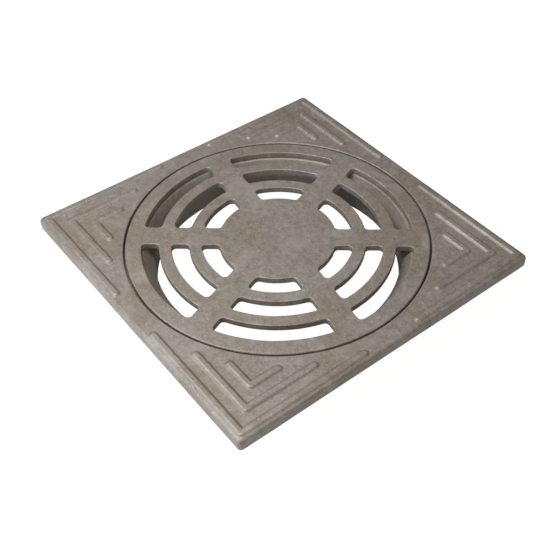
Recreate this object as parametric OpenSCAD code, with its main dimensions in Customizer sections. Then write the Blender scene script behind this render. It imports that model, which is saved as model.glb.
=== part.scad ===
// Square floor drain cover: a cast frame with a collar, and a round grate that lifts out.
// The origin is at the middle of the collar's lower edge, +Z points up, sizes are in mm.

/* [Frame plate] */
// Side of the square plate
plate_side = 150; // [146:1:200]
// Thickness of the plate
plate_t = 5.2; // [4.6:0.1:8]
// Corner radius of the plate seen from above
corner_r = 2.2; // [1.5:0.1:6]
// Rounding of the plate's top edge
plate_edge_r = 1.3; // [0.3:0.1:1.4]

/* [Corner ribs] */
// Angled ribs nested in each corner
rib_count = 3; // [1:1:3]
// Width of a rib at its foot
rib_w = 3.5; // [2.5:0.1:4.5]
// Width of a rib's flat top
rib_top_w = 1.7; // [0.8:0.1:2.4]
// Height of a rib above the plate
rib_h = 0.9; // [0.4:0.1:1.6]
// Edge of the plate to the centre line of the outer rib
rib_inset = 3.2; // [2.8:0.1:4.5]
// Spacing of the ribs' centre lines
rib_pitch = 7.4; // [5:0.1:8]
// Clear gap at the middle of a side between the outer ribs of two corners
rib_mid_gap = 24.8; // [8:0.2:60]
// Clear gap between the inner ribs' ends and the recess
rib_end_gap = 4.4; // [2:0.1:6]

/* [Grate] */
// Diameter of the grate
grate_d = 130.4; // [126:0.2:133]
// Thickness of the grate
grate_t = 3; // [2.2:0.1:4]
// Solid rim outside the slots
rim_w = 6.8; // [3:0.1:9]
// Rings of slots
slot_rings = 3; // [1:1:3]
// Width of a slot
slot_w = 7.5; // [4:0.1:9]
// Bar between two rings of slots
bar_w = 5.3; // [2.5:0.1:7]
// Corner radius of a slot
slot_corner_r = 1.4; // [0.5:0.1:1.9]
// Spokes between the slots
spoke_count = 6; // [3:1:8]
// Width of a spoke
spoke_w = 10.5; // [5:0.1:12]
// Rounding of the grate's upper rim
grate_edge_r = 0.9; // [0.3:0.1:1.5]
// Turn of the grate in its seat, from spokes in line with the plate
grate_turn = -9.4; // [-30:0.1:30]

/* [Seat and collar] */
// Gap round the grate in its recess
grate_gap = 0.8; // [0.4:0.1:1.5]
// Ledge that carries the grate, from the recess wall inwards
seat_w = 8.8; // [5:0.1:9.5]
// Rounding of the recess mouth
mouth_edge_r = 0.8; // [0.3:0.1:1.2]
// Rounding of the ledge's inner edge
seat_edge_r = 0.8; // [0.3:0.1:1.4]
// Inside diameter of the collar
collar_d = 106.6; // [96:0.2:110]
// Wall of the collar
collar_wall = 2.9; // [2:0.1:4]
// Height of the collar below the plate
collar_h = 13.5; // [12:0.5:60]
// Height of the funnel that leads from the ledge into the collar
funnel_h = 5.6; // [3:0.1:10]
// Lead-in chamfer on the collar's lower outer edge
lead_in = 1; // [0.4:0.1:1.6]

/* [Hidden] */

// Curve quality of the preview
$fn = 128;
// Overshoot of a cut past the surface it opens
over = 1;
// Extra radius that makes a corner arc cross the walls it blends
blend = 0.004;

top_z = collar_h + plate_t;
seat_z = top_z - grate_t;
half_side = plate_side / 2;
grate_r = grate_d / 2;
recess_r = grate_r + grate_gap;
throat_r = recess_r - seat_w;
collar_r = collar_d / 2;
collar_outer_r = collar_r + collar_wall;
funnel_top_z = seat_z - seat_edge_r;
funnel_low_z = funnel_top_z - funnel_h;
rib_end_r = recess_r + rib_end_gap + rib_w / 2;

iron = [0.45, 0.42, 0.39];

// Centre line of a rib, measured from the plate's middle
function rib_line(i) = half_side - rib_inset - i * rib_pitch;

// Centre of a rib's round end: on a circle round the recess, or beside the gap at mid side
function rib_end(i) =
    max((rib_mid_gap + rib_w) / 2, sqrt(max(0, pow(rib_end_r, 2) - pow(rib_line(i), 2))));

// Outer radius of a ring of slots, counted from the rim inwards
function slot_outer_r(i) = grate_r - rim_w - i * (slot_w + bar_w);

// What a round-over takes off a corner that points to +X +Y, with the corner at the origin
module round_over(r) {
    translate([-r, -r])
        difference() {
            square(r + over);
            circle(r);
        }
}

// Outline of the plate, a square with round corners
module plate_outline() {
    straight = plate_side - 2 * corner_r;
    square([plate_side, straight], center = true);
    square([straight, plate_side], center = true);
    for (x = [-1, 1], y = [-1, 1])
        translate([x, y] * straight / 2)
            circle(corner_r);
}

// Strip that rounds the plate's top edge along its sides and round its corners
module plate_edge_cut() {
    straight = plate_side - 2 * corner_r;
    for (turn = [0 : 90 : 270])
        rotate(turn) {
            translate([half_side, straight / 2, top_z])
                rotate([90, 0, 0])
                    linear_extrude(straight)
                        round_over(plate_edge_r);
            translate([straight / 2, straight / 2, 0])
                rotate_extrude(angle = 90)
                    translate([corner_r, top_z])
                        round_over(plate_edge_r);
        }
}

// Half of a rib's section, from its middle line outwards, rooted in the plate
module rib_half_section() {
    polygon([[0, -over], [rib_w / 2, -over], [rib_w / 2, 0], [rib_top_w / 2, rib_h], [0, rib_h]]);
}

// Straight run of a rib along X, with a round end at both ends
module rib_run(from, to) {
    translate([from, 0, 0])
        rotate([90, 0, 90])
            linear_extrude(to - from)
                for (side = [0, 1])
                    mirror([side, 0])
                        rib_half_section();
    for (x = [from, to])
        translate([x, 0, 0])
            rotate_extrude()
                rib_half_section();
}

// Angled rib in the corner between +X and +Y
module corner_rib(i) {
    translate([0, rib_line(i), top_z])
        rib_run(rib_end(i), rib_line(i));
    translate([rib_line(i), 0, top_z])
        rotate(90)
            rib_run(rib_end(i), rib_line(i));
}

// Outside of the collar, flaring under the plate by as much as the funnel inside
module collar_profile() {
    polygon([
        [0, 0],
        [collar_outer_r - lead_in, 0],
        [collar_outer_r, lead_in],
        [collar_outer_r, funnel_low_z],
        [throat_r + collar_wall, funnel_top_z],
        [0, funnel_top_z]
    ]);
}

// Inside of the frame: recess for the grate, ledge, funnel and collar
module opening_profile() {
    translate([0, seat_z])
        square([recess_r, grate_t + over]);
    translate([recess_r, top_z])
        mirror([1, 0])
            round_over(mouth_edge_r);
    translate([throat_r, seat_z])
        mirror([1, 0])
            round_over(seat_edge_r);
    polygon([
        [0, -over],
        [collar_r, -over],
        [collar_r, funnel_low_z],
        [throat_r, funnel_top_z],
        [throat_r, seat_z + grate_t / 2],
        [0, seat_z + grate_t / 2]
    ]);
}

module frame() {
    color(iron)
        difference() {
            union() {
                translate([0, 0, collar_h])
                    linear_extrude(plate_t)
                        plate_outline();
                rotate_extrude()
                    collar_profile();
                for (turn = [0 : 90 : 270], i = [0 : rib_count - 1])
                    rotate(turn)
                        corner_rib(i);
            }
            plate_edge_cut();
            rotate_extrude()
                opening_profile();
        }
}

// What rounds the slot corner at the given radius, above a spoke along +X.
// The fillet centre lies at centre_r from the middle.
module slot_corner_fill(edge_r, centre_r) {
    spoke_side = spoke_w / 2;
    centre_y = spoke_side + slot_corner_r;
    centre_x = sqrt(pow(centre_r, 2) - pow(centre_y, 2));
    past_r = edge_r + (edge_r - centre_r) / 2;
    inside_y = spoke_side - slot_corner_r / 2;
    difference() {
        polygon([
            [centre_x, centre_y],
            [centre_x, inside_y],
            [sqrt(pow(past_r, 2) - pow(inside_y, 2)), inside_y],
            [centre_x, centre_y] * past_r / centre_r
        ]);
        translate([centre_x, centre_y])
            circle(slot_corner_r + blend);
    }
}

// Rings of curved slots, cut by the spokes
module slots_outline() {
    difference() {
        for (i = [0 : slot_rings - 1])
            difference() {
                circle(slot_outer_r(i));
                circle(slot_outer_r(i) - slot_w);
            }
        for (spoke = [0 : spoke_count - 1])
            rotate(spoke * 360 / spoke_count) {
                translate([0, -spoke_w / 2])
                    square([grate_r, spoke_w]);
                for (side = [0, 1], i = [0 : slot_rings - 1])
                    mirror([0, side]) {
                        outer = slot_outer_r(i);
                        inner = outer - slot_w;
                        slot_corner_fill(outer, outer - slot_corner_r);
                        slot_corner_fill(inner, inner + slot_corner_r);
                    }
            }
    }
}

module grate() {
    color(iron)
        translate([0, 0, seat_z])
            rotate(grate_turn)
                difference() {
                    rotate_extrude()
                        difference() {
                            square([grate_r, grate_t]);
                            translate([grate_r, grate_t])
                                round_over(grate_edge_r);
                        }
                    translate([0, 0, -over])
                        linear_extrude(grate_t + 2 * over)
                            slots_outline();
                }
}

frame();
grate();
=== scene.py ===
"""Square floor drain cover: a cast frame and the round grate that lies in it, in a pale studio."""

from collections import namedtuple
from contextlib import contextmanager
from math import acos, atan2, ceil, cos, pi, radians, sin, sqrt

import bmesh
import bpy
from bpy.props import FloatProperty, FloatVectorProperty, IntProperty, PointerProperty
from mathutils import Matrix, Vector
from mathutils.kdtree import KDTree


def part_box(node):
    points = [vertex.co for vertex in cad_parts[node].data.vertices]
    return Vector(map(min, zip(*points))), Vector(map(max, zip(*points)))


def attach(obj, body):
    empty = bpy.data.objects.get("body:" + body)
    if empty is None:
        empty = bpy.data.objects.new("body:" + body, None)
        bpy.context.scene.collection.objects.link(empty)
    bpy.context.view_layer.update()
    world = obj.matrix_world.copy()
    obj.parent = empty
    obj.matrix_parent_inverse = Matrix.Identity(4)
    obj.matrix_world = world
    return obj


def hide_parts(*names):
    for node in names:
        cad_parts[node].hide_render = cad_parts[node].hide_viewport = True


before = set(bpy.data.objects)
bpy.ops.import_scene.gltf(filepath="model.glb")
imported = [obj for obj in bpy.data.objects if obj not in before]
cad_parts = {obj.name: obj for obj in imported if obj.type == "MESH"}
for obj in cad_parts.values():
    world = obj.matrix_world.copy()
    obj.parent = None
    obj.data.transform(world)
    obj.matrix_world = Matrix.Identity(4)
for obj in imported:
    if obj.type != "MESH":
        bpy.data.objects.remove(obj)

bl_info = {
    "name": "Drain Grate",
    "version": (1, 0, 0),
    "blender": (4, 5, 0),
    "location": "View3D > Sidebar > Drain Grate",
    "description": "Cast frame and round grate of a floor drain cover, with their iron finish and a studio",
    "category": "Object",
}

BODY = "root"
MM = 0.001
UP = (0, 0, 1)

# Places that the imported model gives: the plate's sides, the top face, the grate's seat and its rim
HALF_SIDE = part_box("frame")[1].x
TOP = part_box("grate")[1].z
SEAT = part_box("grate")[0].z
GRATE_R = (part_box("grate")[1].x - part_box("grate")[0].x) / 2

# Overshoot of a cut past the surface that it opens
OVER = 1 * MM
# Points closer than this are one point
MERGE = 0.005 * MM
# Faces narrower than this are left out
SLIVER = 0.02 * MM
# A point this close to a plane lies on it
NEAR = 0.006 * MM
# Most turn and most length between neighbouring points of an arc
ARC_TURN = radians(15)
ARC_CHORD = 1.6 * MM
# Steps of a full turn round the cover's axis
TURN_STEPS = 240
# Corners of the plate, and faces across the rounding of each
CORNERS = 4
CORNER_STEPS = 8
# Faces across the rounding of the plate's and the grate's top edge
TOP_EDGE_STEPS = 5
# Cuts through the axis that leave no face of the plate with a hole in it
PLATE_CUTS = 4

# Edges that turn more than this are moulded edges, which a casting never has sharp
MOULDED = radians(25)
# Edges that turn more than this stay visible in the shading
SHADED = radians(50)
# Spacing of the points that stand for a moulded edge
EDGE_SAMPLE = 0.1 * MM
# Where the mark along a moulded edge ends, and how softly, as shares of the edge's rounding
MARK_END = 0.95
MARK_FADE = 0.4
# Least distance of a mesh line from a piece's end, as a share of a cell
LAST_CELL = 0.1

# Lengths in the finish: grain, spots and the areas that have them, tint, rubbed areas, scratches
FINE_GRAIN = 0.8 * MM
COARSE_GRAIN = 3.2 * MM
SPOTS = 1.7 * MM
SPOT_AREAS = 24 * MM
TINT_AREAS = 34 * MM
RUBBED_AREAS = 21 * MM
RUBBED_GRAIN = 2.6 * MM
SCRATCH_LENGTH = 16 * MM
SCRATCH_WIDTH = 0.45 * MM
SCRATCH_AREAS = 17 * MM
# Directions of the scratches
SCRATCH_TURNS = (radians(24), radians(-51))
# Share of the fine grain in all the grain, and the levels between which the grain changes the finish
FINE_SHARE = 0.55
GRAIN_LEVELS = (0.3, 0.7)
# How far the grain, pits, painted inner shade, rubbing and wear change the roughness
GRAIN_ROUGHNESS = 0.05
PIT_ROUGHNESS = 0.15
OXIDE_SHADE_ROUGHNESS = 0.15
RUBBED_ROUGHNESS = -0.08
WEAR_ROUGHNESS = -0.12
# How far outside the recess wall and the grate's rim the painted shade inside the cover ends
PAST_WALL = 0.6 * MM
PAST_RIM = 1 * MM

# The floor's side in metres, its own colour and roughness, and the white that the camera sees
FLOOR = 8
FLOOR_COLOR = (0.8, 0.8, 0.8, 1)
FLOOR_ROUGHNESS = 0.7
FLOOR_WHITE = (1, 0.998, 0.992, 1)
FLOOR_GLOW = 1.06

Arc = namedtuple("Arc", "centre turn")
# What differs between the finishes of the two castings. The painted shade inside the cover, tinted brown
# like oxide, starts and is full at depths below the top, inside a radius round the axis.
Look = namedtuple("Look", "offset rubbing inner_radius shelter_start shelter_full shelter_depth")
# A square light: the setting that holds its power, where it stands as seen from the cover, its side
Lamp = namedtuple("Lamp", "name power azimuth elevation distance side color")

LAMPS = (
    Lamp("Front light", "front_power", radians(-5), radians(16), 0.32, 0.20, (0.84, 0.92, 1.0)),
    Lamp("Overhead light", "over_power", radians(-30), radians(70), 0.50, 0.30, (1.0, 0.99, 0.96)),
    Lamp("Right light", "right_power", radians(100), radians(35), 0.60, 0.30, (1.0, 0.99, 0.96)),
)


def size(name, description, millimetres, most=200):
    """A length that a user can change."""
    return FloatProperty(
        name=name, description=description, default=millimetres * MM, min=0.0, max=most * MM,
        unit="LENGTH", subtype="DISTANCE")


def place(name, description, millimetres):
    """A place along an axis, on either side of the origin, that a user can change."""
    return FloatProperty(
        name=name, description=description, default=millimetres * MM, unit="LENGTH", subtype="DISTANCE")


def angle(name, description, degrees):
    """A turn that a user can change."""
    return FloatProperty(
        name=name, description=description, default=radians(degrees), unit="ROTATION", subtype="ANGLE")


def count(name, description, number, most=12):
    """A number of things that a user can change."""
    return IntProperty(name=name, description=description, default=number, min=1, max=most)


def share(name, description, value):
    """A value from 0 to 1 that a user can change."""
    return FloatProperty(
        name=name, description=description, default=value, min=0, max=1, subtype="FACTOR")


def amount(name, description, value):
    """A plain number that a user can change."""
    return FloatProperty(name=name, description=description, default=value)


def tint(name, description, color):
    """A colour that a user can change."""
    return FloatVectorProperty(
        name=name, description=description, default=color, size=3, min=0, max=1, subtype="COLOR")


class FrameSettings(bpy.types.PropertyGroup):
    """Sizes of the frame casting."""

    plate: size("Plate thickness", "Thickness of the square plate", 5.2)
    corner: size("Corner radius", "Corner radius of the plate seen from above", 1.7)
    edge: size("Plate edge", "Width of the rounding on the plate's top edge, seen from above", 1.05)
    edge_depth: size("Plate edge depth", "Depth of the rounding on the plate's top edge", 1.9)
    ribs: count("Ribs", "Angled ribs nested in each corner", 3, most=3)
    rib_foot: size("Rib foot", "Width of a rib at its foot", 3.5)
    rib_flat: size("Rib flat", "Width of a rib's flat top", 2.0)
    rib_height: size("Rib height", "Height of a rib above the plate", 0.75)
    rib_inset: size("Rib inset", "Edge of the plate to the centre line of the outer rib", 3.2)
    rib_pitch: size("Rib pitch", "Spacing of the ribs' centre lines", 7.4)
    rib_mid_gap: size("Gap at mid side", "Clear gap at mid side between two corners' outer ribs", 24.8)
    rib_end_gap: size("Gap at the recess", "Clear gap between the inner ribs' ends and the recess", 4.4)
    gap: size("Grate gap", "Gap round the grate in its recess", 0.8)
    mouth: size("Recess mouth", "Rounding of the recess mouth", 0.5)
    ledge: size("Ledge", "Ledge that carries the grate, from the recess wall inwards", 8.8)
    ledge_edge: size("Ledge edge", "Rounding of the ledge's inner edge", 0.8)
    funnel: size("Funnel", "Height of the funnel that leads from the ledge into the collar", 5.6)
    bore: size("Collar bore", "Inside radius of the collar", 53.3)
    wall: size("Collar wall", "Wall of the collar", 2.9)
    lead_in: size("Lead-in", "Chamfer on the collar's lower outer edge", 1.0)


class GrateSettings(bpy.types.PropertyGroup):
    """Sizes of the grate casting."""

    edge: size("Rim edge", "Rounding of the grate's upper rim", 0.6)
    rim: size("Rim", "Solid rim outside the slots", 6.8)
    rings: count("Rings", "Rings of slots", 3, most=3)
    slot: size("Slot", "Width of a slot", 7.5)
    bar: size("Bar", "Bar between two rings of slots", 5.3)
    slot_corner: size("Slot corner", "Corner radius of a slot", 1.9)
    spokes: count("Spokes", "Spokes between the slots", 6)
    spoke: size("Spoke", "Width of a spoke", 10.5)
    turn: angle("Turn", "Turn of the grate in its seat, from spokes in line with the plate", -9.4)


class CastingSettings(bpy.types.PropertyGroup):
    """How far a sand casting departs from its drawing."""

    edge: size("Edge rounding", "Width of the rounding on every moulded edge", 0.35)
    edge_steps: count("Edge steps", "Faces across the rounding of a moulded edge", 3, most=5)
    cell: size("Mesh cell", "Spacing of the mesh lines", 2.5)
    wave: size("Wave length", "Length of the slow waves in the cast faces", 22)
    wave_height: size("Wave height", "Height of the slow waves in the cast faces", 0.16)
    ripple: size("Ripple length", "Length of the short ripples in the cast faces", 5.5)
    ripple_height: size("Ripple height", "Height of the short ripples in the cast faces", 0.08)


class FinishSettings(bpy.types.PropertyGroup):
    """Colours and gloss of the bare, handled iron, and the colour of the painted shade inside the cover."""

    warm: tint("Warm iron", "Colour of the cast skin where it is warmest", (0.266, 0.223, 0.187))
    cool: tint("Cool iron", "Colour of the cast skin where it is coolest", (0.300, 0.266, 0.238))
    rubbed: tint("Rubbed iron", "Colour where hands and feet have rubbed the skin", (0.40, 0.362, 0.33))
    bare: tint("Bare iron", "Colour of worn edges, scratches and flecks", (0.47, 0.435, 0.40))
    # Also the colour of the painted shade in inner corners
    dirt: tint("Dirt", "Colour of pits and of dirt in inner corners", (0.11, 0.09, 0.072))
    # Colour of the painted shade low down inside the cover, tinted brown like oxide
    shade_and_oxide: tint("Shade and oxide colour", "Colour low down inside the cover", (0.21, 0.182, 0.145))
    contrast: share("Grain contrast", "How much the grain lightens and darkens the colour", 0.22)
    scratches: share("Scratches", "How clearly the scratches show", 0.5)
    flecks: share("Flecks", "How clearly the light flecks show", 0.5)
    pits: share("Pits", "How dark the pits are", 0.3)
    wear: share("Edge wear", "How bare the outer edges are worn", 0.15)
    # How strongly dirt and painted shade darken the inner corners
    grime: share("Grime", "How dirty the inner corners are", 0.2)
    metallic: share("Metallic", "How metallic the bare skin looks", 0.35)
    roughness: share("Roughness", "Roughness of the bare skin", 0.55)
    relief: size("Grain relief", "Height of the cast grain in the shading", 0.05)


class StudioSettings(bpy.types.PropertyGroup):
    """Camera at the photograph's viewing angle, and the lights."""

    azimuth: angle("Azimuth", "Turn of the camera round the cover, from its front", 51.855)
    elevation: angle("Elevation", "Height of the camera above the horizon", 45.507)
    roll: angle("Roll", "Turn of the camera about its own line of sight", -0.333)
    distance: size("Distance", "Camera to the point that it aims at", 369.56, most=2000)
    aim_x: place("Aim X", "Point of the top face that the camera aims at, along X", 21.45)
    aim_y: place("Aim Y", "Point of the top face that the camera aims at, along Y", -9.59)
    lens: amount("Lens", "Focal length in millimetres", 58.7)
    shift: amount("Shift", "Sideways shift of the lens, as share of the picture's width", -0.0295)
    rise: amount("Rise", "Upward shift of the lens, as share of the picture's width", 0.0015)
    front_power: amount("Front light", "Power of the low light in front in watts", 0.56)
    over_power: amount("Overhead light", "Power of the soft light overhead in watts", 2.5)
    right_power: amount("Right light", "Power of the light on the right in watts", 0.58)
    room: amount("Room light", "Strength of the even light of the room", 0.03)
    white: share("Floor whiteness", "Share of plain white in the floor that the camera sees", 0.94)


def activate(piece):
    """Makes the piece the only selected object, and the active one."""
    bpy.ops.object.select_all(action="DESELECT")
    piece.select_set(True)
    bpy.context.view_layer.objects.active = piece


@contextmanager
def editing(piece, mode="VERT"):
    """Edit mode on one piece, with nothing selected."""
    activate(piece)
    bpy.ops.object.mode_set(mode="EDIT")
    bpy.ops.mesh.select_mode(type=mode)
    bpy.ops.mesh.select_all(action="DESELECT")
    yield bmesh.from_edit_mesh(piece.data)
    bpy.ops.object.mode_set(mode="OBJECT")


def pick(elements, test):
    """Selects the points, edges or faces that pass the test."""
    for element in elements:
        if test(element):
            element.select_set(True)


def in_plane(element, axis, where):
    """Whether all points of an edge or face lie at one place along an axis."""
    return all(abs(v.co[axis] - where) < NEAR for v in element.verts)


def draw(name, start, strokes, axis):
    """A piece of one outline, drawn by straight strokes to a point and by arcs about the axis."""
    mesh = bpy.data.meshes.new(name)
    mesh.from_pydata([start], [], [])
    piece = bpy.data.objects.new(name, mesh)
    bpy.context.collection.objects.link(piece)
    pen = Vector(start)
    with editing(piece):
        bpy.ops.mesh.select_all(action="SELECT")
        for stroke in strokes:
            if isinstance(stroke, Arc):
                centre = Vector(stroke.centre)
                step = min(ARC_TURN, ARC_CHORD / (pen - centre).length)
                bpy.ops.mesh.spin(
                    steps=ceil(abs(stroke.turn) / step), angle=-stroke.turn, center=centre, axis=axis)
                pen = centre + Matrix.Rotation(stroke.turn, 3, Vector(axis)) @ (pen - centre)
            else:
                bpy.ops.mesh.extrude_region_move(TRANSFORM_OT_translate={"value": Vector(stroke) - pen})
                pen = Vector(stroke)
        bpy.ops.mesh.select_all(action="SELECT")
        bpy.ops.mesh.remove_doubles(threshold=MERGE)
    return piece


def close_up(piece):
    """Merges a piece's doubles and turns its faces outwards."""
    with editing(piece):
        bpy.ops.mesh.select_all(action="SELECT")
        bpy.ops.mesh.remove_doubles(threshold=MERGE)
        bpy.ops.mesh.select_all(action="SELECT")
        bpy.ops.mesh.normals_make_consistent(inside=False)


def raise_outline(piece, height):
    """Fills a flat outline and makes it a solid of that height."""
    with editing(piece):
        bpy.ops.mesh.select_all(action="SELECT")
        bpy.ops.mesh.edge_face_add()
        bpy.ops.mesh.extrude_region_move(TRANSFORM_OT_translate={"value": (0, 0, height)})
    close_up(piece)


def turned(name, start, strokes):
    """A round solid, from a profile in the XZ plane that starts and ends on the axis."""
    piece = draw(name, start, strokes, (0, 1, 0))
    with editing(piece):
        bpy.ops.mesh.select_all(action="SELECT")
        bpy.ops.mesh.spin(steps=TURN_STEPS, angle=2 * pi, center=(0, 0, 0), axis=UP)
    close_up(piece)
    return piece


def copies_round(piece, number):
    """The piece and its copies at equal turns round the cover's axis, as a list."""
    pieces = [piece]
    for k in range(1, number):
        copy = bpy.data.objects.new(piece.name, piece.data.copy())
        bpy.context.collection.objects.link(copy)
        copy.data.transform(Matrix.Rotation(2 * pi * k / number, 4, "Z"))
        pieces.append(copy)
    return pieces


def joined(pieces):
    """All the pieces as one."""
    activate(pieces[0])
    for piece in pieces:
        piece.select_set(True)
    bpy.ops.object.join()
    return pieces[0]


def combine(piece, other, operation):
    """Adds the other solid to the piece, or cuts it out, and uses it up.

    The cuts leave hair-thin faces where two surfaces touch, which merging its points takes away.
    """
    modifier = piece.modifiers.new(operation, "BOOLEAN")
    modifier.operation = operation
    modifier.solver = "EXACT"
    modifier.object = other
    activate(piece)
    bpy.ops.object.modifier_apply(modifier=modifier.name)
    bpy.data.objects.remove(other)
    close_up(piece)


def settle(piece):
    """Moves a primitive's place from its object into its mesh."""
    piece.data.transform(piece.matrix_world)
    piece.matrix_world = Matrix.Identity(4)
    return piece


def bevel_edges(piece, test, width, steps):
    """Rounds the edges that pass the test."""
    with editing(piece, "EDGE") as mesh:
        pick(mesh.edges, test)
        bpy.ops.mesh.bevel(offset=width, segments=steps, affect="EDGES", clamp_overlap=False)


def split(piece, turns):
    """Cuts the faces through the cover's axis at those turns, so that no face has a hole in it."""
    with editing(piece):
        for turn in turns:
            bpy.ops.mesh.select_all(action="SELECT")
            bpy.ops.mesh.bisect(
                plane_co=(0, 0, 0), plane_no=(-sin(turn), cos(turn), 0), threshold=MERGE)


def plate_blank(sizes):
    """The square plate with its round corners and its rounded top edge."""
    stretch = sizes.edge_depth / sizes.edge
    low = TOP - sizes.plate / stretch
    bpy.ops.object.select_all(action="DESELECT")
    bpy.ops.mesh.primitive_cube_add(
        size=1, location=(0, 0, (TOP + low) / 2), scale=(2 * HALF_SIDE, 2 * HALF_SIDE, TOP - low))
    plate = settle(bpy.context.active_object)
    bevel_edges(
        plate, lambda e: not in_plane(e, 2, TOP) and not in_plane(e, 2, low), sizes.corner, CORNER_STEPS)
    bevel_edges(plate, lambda e: in_plane(e, 2, TOP), sizes.edge, TOP_EDGE_STEPS)
    # The blank is drawn too thin and stretched, which makes the rounding deeper than wide
    top = Matrix.Translation((0, 0, TOP))
    plate.data.transform(top @ Matrix.Diagonal((1, 1, stretch, 1)) @ top.inverted())
    split(plate, [k * pi / PLATE_CUTS for k in range(PLATE_CUTS)])
    return plate


def corner_rib(sizes, number):
    """An angled rib in the corner between +X and +Y, counted from the plate's edge inwards."""
    line = HALF_SIDE - sizes.rib_inset - number * sizes.rib_pitch
    half = sizes.rib_foot / 2
    reach = GRATE_R + sizes.gap + sizes.rib_end_gap + half
    end = max(sizes.rib_mid_gap / 2 + half, sqrt(max(0, reach ** 2 - line ** 2)))
    rib = draw("Rib", (end, line + half, TOP), [
        (line, line + half, TOP),
        Arc((line, line, TOP), -pi / 2),
        (line + half, end, TOP),
        Arc((line, end, TOP), -pi),
        (line - half, line - half, TOP),
        (end, line - half, TOP),
        Arc((end, line, TOP), -pi),
    ], UP)
    raise_outline(rib, OVER)
    flank = (sizes.rib_foot - sizes.rib_flat) / 2
    with editing(rib, "FACE") as mesh:
        pick(mesh.faces, lambda f: in_plane(f, 2, TOP + OVER))
        bpy.ops.mesh.inset(thickness=flank, depth=sizes.rib_height, use_even_offset=True)
    rib.data.transform(Matrix.Translation((0, 0, -OVER)))
    return rib


def collar_blank(sizes):
    """The collar's outside, which flares under the plate by as much as the funnel inside."""
    recess = GRATE_R + sizes.gap
    throat = recess - sizes.ledge
    outer = sizes.bore + sizes.wall
    funnel_top = SEAT - sizes.ledge_edge
    return turned("Collar", (0, 0, 0), [
        (outer - sizes.lead_in, 0, 0),
        (outer, 0, sizes.lead_in),
        (outer, 0, funnel_top - sizes.funnel),
        (throat + sizes.wall, 0, funnel_top),
        (0, 0, funnel_top),
    ])


def opening(sizes):
    """The inside of the frame: collar, funnel, ledge and the recess for the grate."""
    recess = GRATE_R + sizes.gap
    throat = recess - sizes.ledge
    edge = Vector((throat + sizes.ledge_edge, 0, SEAT - sizes.ledge_edge))
    foot = Vector((sizes.bore, 0, edge.z - sizes.funnel))
    mouth = Vector((recess + sizes.mouth, 0, TOP - sizes.mouth))
    # The funnel's wall runs up to where it touches the ledge's rounding
    slope = edge - foot
    leave = pi + atan2(slope.z, slope.x) - acos(sizes.ledge_edge / slope.length)
    touch = edge + sizes.ledge_edge * Vector((cos(leave), 0, sin(leave)))
    return turned("Opening", (0, 0, -OVER), [
        (sizes.bore, 0, -OVER),
        foot,
        touch,
        Arc(edge, leave - pi / 2),
        (recess, 0, SEAT),
        (recess, 0, mouth.z),
        Arc(mouth, pi / 2),
        (mouth.x, 0, TOP + OVER),
        (0, 0, TOP + OVER),
    ])


def frame_blank(sizes):
    """The frame as drawn, before it is cast."""
    plate = plate_blank(sizes)
    ribs = []
    for k in range(sizes.ribs):
        ribs += copies_round(corner_rib(sizes, k), CORNERS)
    combine(plate, joined(ribs), "UNION")
    combine(plate, collar_blank(sizes), "UNION")
    combine(plate, opening(sizes), "DIFFERENCE")
    return plate


def slot_cutter(sizes, outer):
    """A solid that cuts a curved slot next to a spoke that lies along +X."""
    inner = outer - sizes.slot
    between = 2 * pi / sizes.spokes
    side = sizes.spoke / 2 + sizes.slot_corner
    low = SEAT - OVER
    outer_corner = Vector((sqrt((outer - sizes.slot_corner) ** 2 - side ** 2), side, low))
    inner_corner = Vector((sqrt((inner + sizes.slot_corner) ** 2 - side ** 2), side, low))
    outer_turn = atan2(outer_corner.y, outer_corner.x)
    inner_turn = atan2(inner_corner.y, inner_corner.x)
    to_spoke = Vector((0, -sizes.slot_corner, 0))
    across = Matrix.Rotation(between, 3, "Z") @ Matrix.Diagonal((1, -1, 1))
    cutter = draw("Slot", outer_corner + to_spoke, [
        Arc(outer_corner, pi / 2 + outer_turn),
        Arc((0, 0, low), between - 2 * outer_turn),
        Arc(across @ outer_corner, pi / 2 + outer_turn),
        across @ (inner_corner + to_spoke),
        Arc(across @ inner_corner, pi / 2 - inner_turn),
        Arc((0, 0, low), 2 * inner_turn - between),
        Arc(inner_corner, pi / 2 - inner_turn),
        outer_corner + to_spoke,
    ], UP)
    raise_outline(cutter, TOP + OVER - low)
    return cutter


def grate_blank(sizes):
    """The grate as drawn, before it is cast."""
    bpy.ops.object.select_all(action="DESELECT")
    bpy.ops.mesh.primitive_cylinder_add(
        vertices=TURN_STEPS, radius=GRATE_R, depth=TOP - SEAT, location=(0, 0, (TOP + SEAT) / 2))
    disc = settle(bpy.context.active_object)
    bevel_edges(disc, lambda e: in_plane(e, 2, TOP), sizes.edge, TOP_EDGE_STEPS)
    split(disc, [(k + 0.5) * 2 * pi / sizes.spokes for k in range(sizes.spokes // 2)])
    outer = GRATE_R - sizes.rim
    pitch = sizes.slot + sizes.bar
    slots = []
    for k in range(sizes.rings):
        slots += copies_round(slot_cutter(sizes, outer - k * pitch), sizes.spokes)
    combine(disc, joined(slots), "DIFFERENCE")
    disc.data.transform(Matrix.Rotation(sizes.turn, 4, "Z"))
    return disc


def points_along(edges):
    """A search tree of points along the edges, close together."""
    places = []
    for edge in edges:
        start, end = (v.co for v in edge.verts)
        steps = ceil(edge.calc_length() / EDGE_SAMPLE)
        places += [start.lerp(end, (k + 0.5) / steps) for k in range(steps)]
    tree = KDTree(len(places))
    for index, point in enumerate(places):
        tree.insert(point, index)
    tree.balance()
    return tree


def round_edges(piece, casting):
    """Rounds every moulded edge, and returns where the outer and the inner ones were."""
    with editing(piece, "EDGE") as mesh:
        bpy.ops.mesh.edges_select_sharp(sharpness=MOULDED)
        moulded = [e for e in mesh.edges if e.select]
        crests = points_along([e for e in moulded if e.calc_face_angle_signed() > 0])
        corners = points_along([e for e in moulded if e.calc_face_angle_signed() < 0])
        bpy.ops.mesh.bevel(
            offset=casting.edge, segments=casting.edge_steps, affect="EDGES", clamp_overlap=False,
            loop_slide=False)
    return crests, corners


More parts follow.
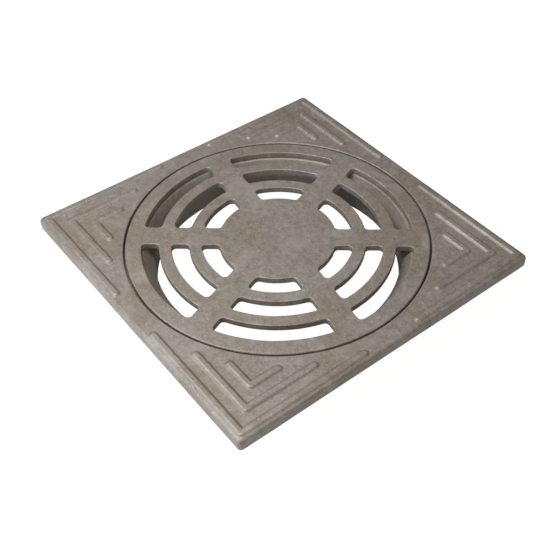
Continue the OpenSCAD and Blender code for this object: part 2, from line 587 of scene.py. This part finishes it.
def mark(piece, name, places, casting):
    """Gives each point of the mesh a value, 1 on the rounding at those places and 0 beside it."""
    values = []
    for vertex in piece.data.vertices:
        away = places.find(vertex.co)[2]
        level = 0 if away is None else (MARK_END - away / casting.edge) / MARK_FADE
        values.append(min(max(level, 0), 1))
    piece.data.attributes.new(name, "FLOAT", "POINT").data.foreach_set("value", values)


def grid_faces(piece, casting):
    """Cuts the faces along lines a cell apart, so that they can follow the casting's waves."""
    with editing(piece) as mesh:
        bpy.ops.mesh.select_all(action="SELECT")
        bpy.ops.mesh.quads_convert_to_tris(quad_method="FIXED", ngon_method="BEAUTY")
        for axis in range(3):
            places = [v.co[axis] for v in mesh.verts]
            first = min(places) / casting.cell + LAST_CELL
            last = max(places) / casting.cell - LAST_CELL
            across = Matrix.Identity(3)[axis]
            for line in range(ceil(first), ceil(last)):
                point = Vector((0, 0, 0))
                point[axis] = line * casting.cell
                bpy.ops.mesh.select_all(action="SELECT")
                bpy.ops.mesh.bisect(plane_co=point, plane_no=across, threshold=MERGE)
        bpy.ops.mesh.select_all(action="SELECT")
        bpy.ops.mesh.dissolve_degenerate(threshold=SLIVER)
    close_up(piece)


def ripple(piece, name, length, height):
    """Moves the surface in and out by soft noise, as sand does."""
    clouds = bpy.data.textures.new(name, "CLOUDS")
    clouds.noise_scale = length
    clouds.noise_depth = 1
    modifier = piece.modifiers.new(name, "DISPLACE")
    modifier.texture = clouds
    modifier.texture_coords = "LOCAL"
    modifier.direction = "NORMAL"
    modifier.mid_level = 0.5
    modifier.strength = height
    activate(piece)
    bpy.ops.object.modifier_apply(modifier=modifier.name)


def keep_inside(piece, low, high):
    """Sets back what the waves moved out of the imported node's box."""
    for vertex in piece.data.vertices:
        for axis in range(3):
            vertex.co[axis] = min(max(vertex.co[axis], low[axis]), high[axis])


def cast(blank, name, node, material, casting):
    """The finished casting, with soft edges and an uneven skin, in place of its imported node."""
    blank.name = name
    crests, corners = round_edges(blank, casting)
    grid_faces(blank, casting)
    mark(blank, "wear", crests, casting)
    # Inner corners get dirt and painted shade
    mark(blank, "grime", corners, casting)
    ripple(blank, "Waves", casting.wave, casting.wave_height)
    ripple(blank, "Ripples", casting.ripple, casting.ripple_height)
    keep_inside(blank, *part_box(node))
    activate(blank)
    bpy.ops.object.shade_smooth_by_angle(angle=SHADED)
    modifier = blank.modifiers.new("Flat faces", "WEIGHTED_NORMAL")
    modifier.keep_sharp = True
    bpy.ops.object.modifier_apply(modifier=modifier.name)
    blank.data.materials.clear()
    blank.data.materials.append(material)
    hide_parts(node)
    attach(blank, BODY)
    return blank


def feed(tree, socket, value):
    """Sets an input to a value, or links it to an output."""
    if isinstance(value, bpy.types.NodeSocket):
        tree.links.new(value, socket)
    else:
        socket.default_value = value


def add(tree, kind, inputs=None, **settings):
    """Adds a node with its settings and its inputs."""
    node = tree.nodes.new(kind)
    for name, value in settings.items():
        setattr(node, name, value)
    for socket, value in (inputs or {}).items():
        feed(tree, node.inputs[socket], value)
    return node


def noise(tree, vector, length, detail=2.0, roughness=0.5, distortion=0.0):
    """Soft noise with features of about that length in metres, from 0 to 1."""
    return add(tree, "ShaderNodeTexNoise", {
        "Vector": vector,
        "Scale": 1 / length,
        "Detail": detail,
        "Roughness": roughness,
        "Distortion": distortion,
    }).outputs[0]


def ramp(tree, value, low, high, to_low=0.0, to_high=1.0):
    """Stretches a value between two levels to another range, softly and clamped."""
    return add(tree, "ShaderNodeMapRange", {
        "Value": value,
        "From Min": low,
        "From Max": high,
        "To Min": to_low,
        "To Max": to_high,
    }, interpolation_type="SMOOTHSTEP").outputs[0]


def calc(tree, operation, first, second):
    """A sum, product or other step on two values."""
    return add(tree, "ShaderNodeMath", {0: first, 1: second}, operation=operation).outputs[0]


def vector_calc(tree, operation, first, second):
    """A sum or product of two vectors, part by part."""
    return add(tree, "ShaderNodeVectorMath", {0: first, 1: second}, operation=operation).outputs[0]


def blend(tree, factor, first, second, blend_type="MIX"):
    """A colour between two colours."""
    node = add(tree, "ShaderNodeMix", data_type="RGBA", blend_type=blend_type)
    for name, value in (("Factor_Float", factor), ("A_Color", first), ("B_Color", second)):
        feed(tree, next(s for s in node.inputs if s.identifier == name), value)
    return next(s for s in node.outputs if s.identifier == "Result_Color")


def own_place(tree):
    """The piece's own coordinates."""
    return add(tree, "ShaderNodeTexCoord").outputs["Object"]


def new_group(name, inputs, outputs):
    """A shader node group with its sockets, and its input and output nodes."""
    group = bpy.data.node_groups.new(name, "ShaderNodeTree")
    for labels, way in ((inputs, "INPUT"), (outputs, "OUTPUT")):
        for label, kind in labels.items():
            group.interface.new_socket(label, in_out=way, socket_type="NodeSocket" + kind)
    return group, add(group, "NodeGroupInput").outputs, add(group, "NodeGroupOutput").inputs


def place_group(tree, name, build, inputs):
    """The outputs of a shared group in this tree. The group is built when it is first placed."""
    group = bpy.data.node_groups.get(name) or build()
    return add(tree, "ShaderNodeGroup", inputs, node_tree=group).outputs


def new_material(name, roughness):
    """A material, its node tree and its Principled shader."""
    material = bpy.data.materials.new(name)
    material.use_nodes = True
    shader = material.node_tree.nodes["Principled BSDF"]
    shader.inputs["Roughness"].default_value = roughness
    return material, material.node_tree, shader


def cast_skin_group():
    """Sand-cast skin: grain, pits and light flecks, and the height of all that for a bump."""
    group, given, result = new_group(
        "Cast skin", {"Offset": "Vector"},
        {"Grain": "Float", "Pits": "Float", "Flecks": "Float", "Height": "Float"})
    shifted = vector_calc(group, "ADD", own_place(group), given["Offset"])
    fine = noise(group, shifted, FINE_GRAIN, detail=3, roughness=0.65)
    coarse = noise(group, shifted, COARSE_GRAIN, detail=3, roughness=0.6)
    grain = calc(
        group, "ADD", calc(group, "MULTIPLY", fine, FINE_SHARE),
        calc(group, "MULTIPLY", coarse, 1 - FINE_SHARE))
    mirrored = vector_calc(group, "MULTIPLY", shifted, (-1, 1, -1))
    spots = noise(group, mirrored, SPOTS, detail=1, roughness=0.4)
    areas = ramp(group, noise(group, shifted, SPOT_AREAS), 0.35, 0.65)
    pits = calc(group, "MULTIPLY", ramp(group, spots, 0.66, 0.74), areas)
    feed(group, result["Grain"], grain)
    feed(group, result["Pits"], pits)
    feed(group, result["Flecks"], ramp(group, spots, 0.31, 0.25))
    feed(group, result["Height"], calc(group, "SUBTRACT", grain, pits))
    return group


def tarnish_group():
    """Slow changes of tint over the casting, and paler places that hands and feet have rubbed."""
    group, given, result = new_group(
        "Tarnish", {"Offset": "Vector"}, {"Tint": "Float", "Rubbed": "Float"})
    shifted = vector_calc(group, "ADD", own_place(group), given["Offset"])
    clouds = noise(group, shifted, TINT_AREAS, detail=4, roughness=0.62, distortion=0.4)
    patches = noise(group, shifted, RUBBED_AREAS, detail=3, roughness=0.6, distortion=0.8)
    grain = noise(group, shifted, RUBBED_GRAIN, detail=3, roughness=0.7)
    patches = ramp(group, patches, 0.5, 0.68)
    broken = ramp(group, grain, 0.3, 0.62, to_low=0.25)
    feed(group, result["Tint"], ramp(group, clouds, 0.36, 0.64))
    feed(group, result["Rubbed"], calc(group, "MULTIPLY", patches, broken))
    return group


def scratch_group():
    """Fine straight scratches in two directions, in places only."""
    group, given, result = new_group("Scratches", {"Offset": "Vector"}, {"Scratches": "Float"})
    shifted = vector_calc(group, "ADD", own_place(group), given["Offset"])
    scale = (1 / SCRATCH_LENGTH, 1 / SCRATCH_WIDTH, 0)
    sets = []
    for turn in SCRATCH_TURNS:
        along = add(group, "ShaderNodeMapping", {
            "Vector": shifted,
            "Rotation": (0, 0, turn),
            "Scale": scale,
        }, vector_type="POINT").outputs[0]
        sets.append(ramp(group, noise(group, along, 1, detail=1, roughness=0.4), 0.7, 0.76))
    areas = ramp(group, noise(group, shifted, SCRATCH_AREAS), 0.45, 0.6)
    marks = calc(group, "MAXIMUM", *sets)
    feed(group, result["Scratches"], calc(group, "MULTIPLY", marks, areas))
    return group


def edge_group():
    """Worn outer edges, and dirt with painted shade in inner corners, both broken up by the grain."""
    group, given, result = new_group(
        "Edges", {"Grain": "Float"}, {"Wear": "Float", "Grime": "Float"})
    broken = ramp(group, given["Grain"], 0.38, 0.62, to_low=0.35)
    for label in ("Wear", "Grime"):
        marked = add(group, "ShaderNodeAttribute", attribute_name=label.lower()).outputs["Fac"]
        feed(group, result[label], calc(group, "MULTIPLY", marked, broken))
    return group


def oxide_and_shade_group():
    """1 low down within a radius round the axis, where the shade inside the cover is painted with an oxide
    tint, and 0 elsewhere.
    """
    group, given, result = new_group(
        "Shelter", {"Radius": "Float", "Upper": "Float", "Lower": "Float"}, {"Sheltered": "Float"})
    here = own_place(group)
    flat = vector_calc(group, "MULTIPLY", here, (1, 1, 0))
    radius = add(group, "ShaderNodeVectorMath", {0: flat}, operation="LENGTH").outputs["Value"]
    height = add(group, "ShaderNodeSeparateXYZ", {0: here}).outputs["Z"]
    inside = calc(group, "LESS_THAN", radius, given["Radius"])
    deep = ramp(group, height, given["Upper"], given["Lower"])
    feed(group, result["Sheltered"], calc(group, "MULTIPLY", inside, deep))
    return group


def iron_material(name, finish, look):
    """Bare cast iron, handled and a little weathered, with painted shade low inside the cover and in inner
    corners.
    """
    material, tree, shader = new_material(name, finish.roughness)
    shader.inputs["Metallic"].default_value = finish.metallic
    skin = place_group(tree, "Cast skin", cast_skin_group, {"Offset": look.offset})
    tarnish = place_group(tree, "Tarnish", tarnish_group, {"Offset": look.offset})
    lines = place_group(tree, "Scratches", scratch_group, {"Offset": look.offset})
    edges = place_group(tree, "Edges", edge_group, {"Grain": skin["Grain"]})
    inside = place_group(tree, "Shelter", oxide_and_shade_group, {
        "Radius": look.inner_radius,
        "Upper": TOP - look.shelter_start,
        "Lower": TOP - look.shelter_full,
    })

    color = blend(tree, tarnish["Tint"], (*finish.cool, 1), (*finish.warm, 1))
    grain = ramp(tree, skin["Grain"], *GRAIN_LEVELS, 1 - finish.contrast, 1 + finish.contrast)
    color = blend(tree, 1.0, color, grain, "MULTIPLY")
    coats = (
        (tarnish["Rubbed"], look.rubbing, finish.rubbed),
        (lines["Scratches"], finish.scratches, finish.bare),
        (skin["Flecks"], finish.flecks, finish.bare),
        (skin["Pits"], finish.pits, finish.dirt),
        # Painted shade low down inside the cover, tinted brown like oxide
        (inside["Sheltered"], look.shelter_depth, finish.shade_and_oxide),
        (edges["Wear"], finish.wear, finish.bare),
        # Dirt and painted shade in the inner corners
        (edges["Grime"], finish.grime, finish.dirt),
    )
    for mask, strength, coat in coats:
        color = blend(tree, calc(tree, "MULTIPLY", mask, strength), color, (*coat, 1))
    feed(tree, shader.inputs["Base Color"], color)

    rough = ramp(
        tree, skin["Grain"], *GRAIN_LEVELS, finish.roughness - GRAIN_ROUGHNESS,
        finish.roughness + GRAIN_ROUGHNESS)
    changes = (
        (skin["Pits"], PIT_ROUGHNESS),
        (inside["Sheltered"], OXIDE_SHADE_ROUGHNESS),
        (tarnish["Rubbed"], RUBBED_ROUGHNESS),
        (edges["Wear"], WEAR_ROUGHNESS),
    )
    for mask, change in changes:
        rough = calc(tree, "ADD", rough, calc(tree, "MULTIPLY", mask, change))
    feed(tree, shader.inputs["Roughness"], rough)

    bump = add(tree, "ShaderNodeBump", {
        "Height": skin["Height"],
        "Distance": finish.relief,
        "Strength": 1.0,
    }).outputs[0]
    feed(tree, shader.inputs["Normal"], bump)
    return material


class DRAINGRATE_OT_frame_casting(bpy.types.Operator):
    """Makes the cast frame with its corner ribs, recess and collar"""

    bl_idname = "draingrate.frame_casting"
    bl_label = "Frame Casting"

    def execute(self, context):
        scene = context.scene
        look = Look(
            offset=(0.31, 0.17, 0), rubbing=0.6,
            inner_radius=GRATE_R + scene.drain_frame.gap + PAST_WALL,
            # Painted shade, tinted brown like oxide, deep inside the frame's opening
            shelter_start=3.6 * MM, shelter_full=7 * MM, shelter_depth=0.45)
        material = iron_material("Frame iron", scene.drain_finish, look)
        cast(frame_blank(scene.drain_frame), "frame_casting", "frame", material, scene.drain_casting)
        return {"FINISHED"}


class DRAINGRATE_OT_grate_casting(bpy.types.Operator):
    """Makes the cast grate with its rings of slots"""

    bl_idname = "draingrate.grate_casting"
    bl_label = "Grate Casting"

    def execute(self, context):
        scene = context.scene
        look = Look(
            offset=(-0.23, 0.41, 0), rubbing=0.8,
            inner_radius=GRATE_R + PAST_RIM,
            # Painted shade, tinted brown like oxide, on the lower slot walls of the grate
            shelter_start=1.2 * MM, shelter_full=2.8 * MM, shelter_depth=0.12)
        material = iron_material("Grate iron", scene.drain_finish, look)
        cast(grate_blank(scene.drain_grate), "grate_casting", "grate", material, scene.drain_casting)
        return {"FINISHED"}


def direction(azimuth, elevation):
    """Unit vector towards a place at that turn from the front, and that height."""
    return Vector((sin(azimuth) * cos(elevation), -cos(azimuth) * cos(elevation), sin(elevation)))


def soft_light(lamp, aim, power):
    """Sets up a square area light that points at its aim."""
    data = bpy.data.lights.new(lamp.name, "AREA")
    data.shape = "SQUARE"
    data.size = lamp.side
    data.energy = power
    data.color = lamp.color
    back = direction(lamp.azimuth, lamp.elevation)
    light = bpy.data.objects.new(lamp.name, data)
    light.location = aim + back * lamp.distance
    light.rotation_mode = "QUATERNION"
    light.rotation_quaternion = (-back).to_track_quat("-Z", "Y")
    bpy.context.collection.objects.link(light)


def camera_view(studio, aim):
    """A camera that looks at its aim."""
    camera = bpy.data.objects.new("Camera", bpy.data.cameras.new("Camera"))
    back = direction(studio.azimuth, studio.elevation)
    turn = (-back).to_track_quat("-Z", "Y").to_matrix() @ Matrix.Rotation(studio.roll, 3, "Z")
    camera.matrix_world = Matrix.Translation(aim + back * studio.distance) @ turn.to_4x4()
    camera.data.lens = studio.lens
    camera.data.shift_x = studio.shift
    camera.data.shift_y = studio.rise
    bpy.context.collection.objects.link(camera)
    return camera


def floor_material(studio):
    """Pale floor that is nearly plain white to the camera, with only a hint of the shadows on it."""
    material, tree, shader = new_material("Floor", FLOOR_ROUGHNESS)
    shader.inputs["Base Color"].default_value = FLOOR_COLOR
    white = add(tree, "ShaderNodeEmission", {"Color": FLOOR_WHITE, "Strength": FLOOR_GLOW}).outputs[0]
    camera_ray = add(tree, "ShaderNodeLightPath").outputs["Is Camera Ray"]
    seen = calc(tree, "MULTIPLY", camera_ray, studio.white)
    mixed = add(tree, "ShaderNodeMixShader", {0: seen, 1: shader.outputs[0], 2: white}).outputs[0]
    feed(tree, tree.nodes["Material Output"].inputs["Surface"], mixed)
    return material


def room_light(studio):
    """A world that is white behind the floor and lights the cover only faintly."""
    world = bpy.data.worlds.new("Room")
    world.use_nodes = True
    tree = world.node_tree
    background = tree.nodes["Background"]
    camera_ray = add(tree, "ShaderNodeLightPath").outputs["Is Camera Ray"]
    background.inputs["Color"].default_value = (1, 1, 1, 1)
    feed(tree, background.inputs["Strength"], calc(tree, "MAXIMUM", camera_ray, studio.room))
    return world


class DRAINGRATE_OT_studio(bpy.types.Operator):
    """Sets up the pale floor, the soft lights and the camera"""

    bl_idname = "draingrate.studio"
    bl_label = "Studio"

    def execute(self, context):
        scene = context.scene
        studio = scene.drain_studio
        scene.camera = camera_view(studio, Vector((studio.aim_x, studio.aim_y, TOP)))

        bpy.ops.object.select_all(action="DESELECT")
        bpy.ops.mesh.primitive_plane_add(size=FLOOR)
        floor = context.active_object
        floor.name = "floor"
        floor.data.materials.append(floor_material(studio))

        for lamp in LAMPS:
            soft_light(lamp, Vector((0, 0, TOP)), getattr(studio, lamp.power))
        scene.world = room_light(studio)
        scene.view_settings.view_transform = "Standard"
        return {"FINISHED"}


SETTINGS = {
    "drain_frame": FrameSettings,
    "drain_grate": GrateSettings,
    "drain_casting": CastingSettings,
    "drain_finish": FinishSettings,
    "drain_studio": StudioSettings,
}
STEPS = (DRAINGRATE_OT_frame_casting, DRAINGRATE_OT_grate_casting, DRAINGRATE_OT_studio)


class DRAINGRATE_PT_panel(bpy.types.Panel):
    """Lists the steps that make the drain cover, and its sizes"""

    bl_idname = "DRAINGRATE_PT_panel"
    bl_label = "Drain Grate"
    bl_space_type = "VIEW_3D"
    bl_region_type = "UI"
    bl_category = "Drain Grate"

    def draw(self, context):
        for step in STEPS:
            self.layout.operator(step.bl_idname)
        for name, group in SETTINGS.items():
            box = self.layout.box()
            for value in group.__annotations__:
                box.prop(getattr(context.scene, name), value)


def register():
    """Makes the settings, the steps and the panel known to Blender."""
    for cls in (*SETTINGS.values(), *STEPS, DRAINGRATE_PT_panel):
        bpy.utils.register_class(cls)
    for name, group in SETTINGS.items():
        setattr(bpy.types.Scene, name, PointerProperty(type=group))


def unregister():
    """Takes them all out again."""
    for name in SETTINGS:
        delattr(bpy.types.Scene, name)
    for cls in (DRAINGRATE_PT_panel, *STEPS, *SETTINGS.values()):
        bpy.utils.unregister_class(cls)


def main():
    """Makes the cover and its studio."""
    register()
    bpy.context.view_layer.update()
    bpy.ops.draingrate.frame_casting()
    bpy.ops.draingrate.grate_casting()
    bpy.ops.draingrate.studio()


if __name__ == "__main__":
    main()
